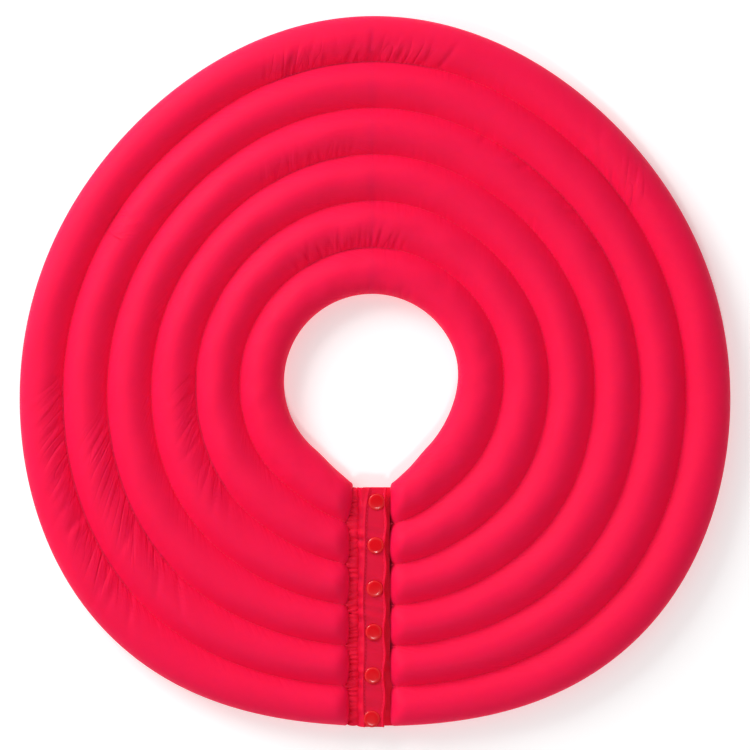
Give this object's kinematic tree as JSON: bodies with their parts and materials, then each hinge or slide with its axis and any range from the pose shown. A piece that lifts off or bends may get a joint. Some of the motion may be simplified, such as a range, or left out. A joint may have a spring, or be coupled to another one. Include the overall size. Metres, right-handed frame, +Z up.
{
  "type": "elizabethan collar",
  "caption": "Flat padded recovery collar for a pet: concentric stuffed channels round a neck opening, closed at the front by a snap placket.",
  "frame": {"origin": "centre of the neck opening, on the plane that the collar rests on", "axes": "+Z up through the neck opening, on the side of the snap caps; -Y towards the front closure; +X towards the free edge of the snap flap"},
  "size_m": [0.5216, 0.5221, 0.027],
  "materials": {
    "cover_fabric": "smooth plain-weave polyester with a soft sheen",
    "lining_fabric": "smooth plain-weave polyester",
    "filling_fibre": "loose polyester fibre",
    "seam_thread": "gathered fabric under overlock thread",
    "snap_resin": "glossy moulded resin"
  },
  "bodies": {
    "rear": {"face_panel_rear": "cover_fabric", "lining_panel_rear": "lining_fabric", "filling_1_rear": "filling_fibre", "filling_2_rear": "filling_fibre", "filling_3_rear": "filling_fibre", "filling_4_rear": "filling_fibre", "filling_5_rear": "filling_fibre", "filling_6_rear": "filling_fibre"},
    "left_front": {"face_panel_left": "cover_fabric", "lining_panel_left": "lining_fabric", "filling_1_left": "filling_fibre", "filling_2_left": "filling_fibre", "filling_3_left": "filling_fibre", "filling_4_left": "filling_fibre", "filling_5_left": "filling_fibre", "filling_6_left": "filling_fibre", "gathered_end_seam": "seam_thread"},
    "right_front": {"face_panel_right": "cover_fabric", "lining_panel_right": "lining_fabric", "filling_1_right": "filling_fibre", "filling_2_right": "filling_fibre", "filling_3_right": "filling_fibre", "filling_4_right": "filling_fibre", "filling_5_right": "filling_fibre", "filling_6_right": "filling_fibre", "under_placket": "cover_fabric", "snap_stud_1": "snap_resin", "stud_cap_1": "snap_resin", "snap_stud_2": "snap_resin", "stud_cap_2": "snap_resin", "snap_stud_3": "snap_resin", "stud_cap_3": "snap_resin", "snap_stud_4": "snap_resin", "stud_cap_4": "snap_resin", "snap_stud_5": "snap_resin", "stud_cap_5": "snap_resin", "snap_stud_6": "snap_resin", "stud_cap_6": "snap_resin"},
    "snap_placket": {"over_placket": "cover_fabric", "snap_cap_1": "snap_resin", "snap_socket_1": "snap_resin", "snap_cap_2": "snap_resin", "snap_socket_2": "snap_resin", "snap_cap_3": "snap_resin", "snap_socket_3": "snap_resin", "snap_cap_4": "snap_resin", "snap_socket_4": "snap_resin", "snap_cap_5": "snap_resin", "snap_socket_5": "snap_resin", "snap_cap_6": "snap_resin", "snap_socket_6": "snap_resin"}
  },
  "joints": [
    {"name": "left_front_fold", "type": "hinge", "parent": "rear", "child": "left_front", "pos_m": [-0.16, 0, 0.027], "axis": [-1, 0, 0], "range_deg": [0, 160]},
    {"name": "right_front_fold", "type": "hinge", "parent": "rear", "child": "right_front", "pos_m": [0.16, 0, 0.027], "axis": [-1, 0, 0], "range_deg": [0, 160]},
    {"name": "placket_flip", "type": "hinge", "parent": "left_front", "child": "snap_placket", "pos_m": [-0.0079, -0.165, 0.0173], "axis": [0, -1, 0], "range_deg": [0, 125]}
  ]
}
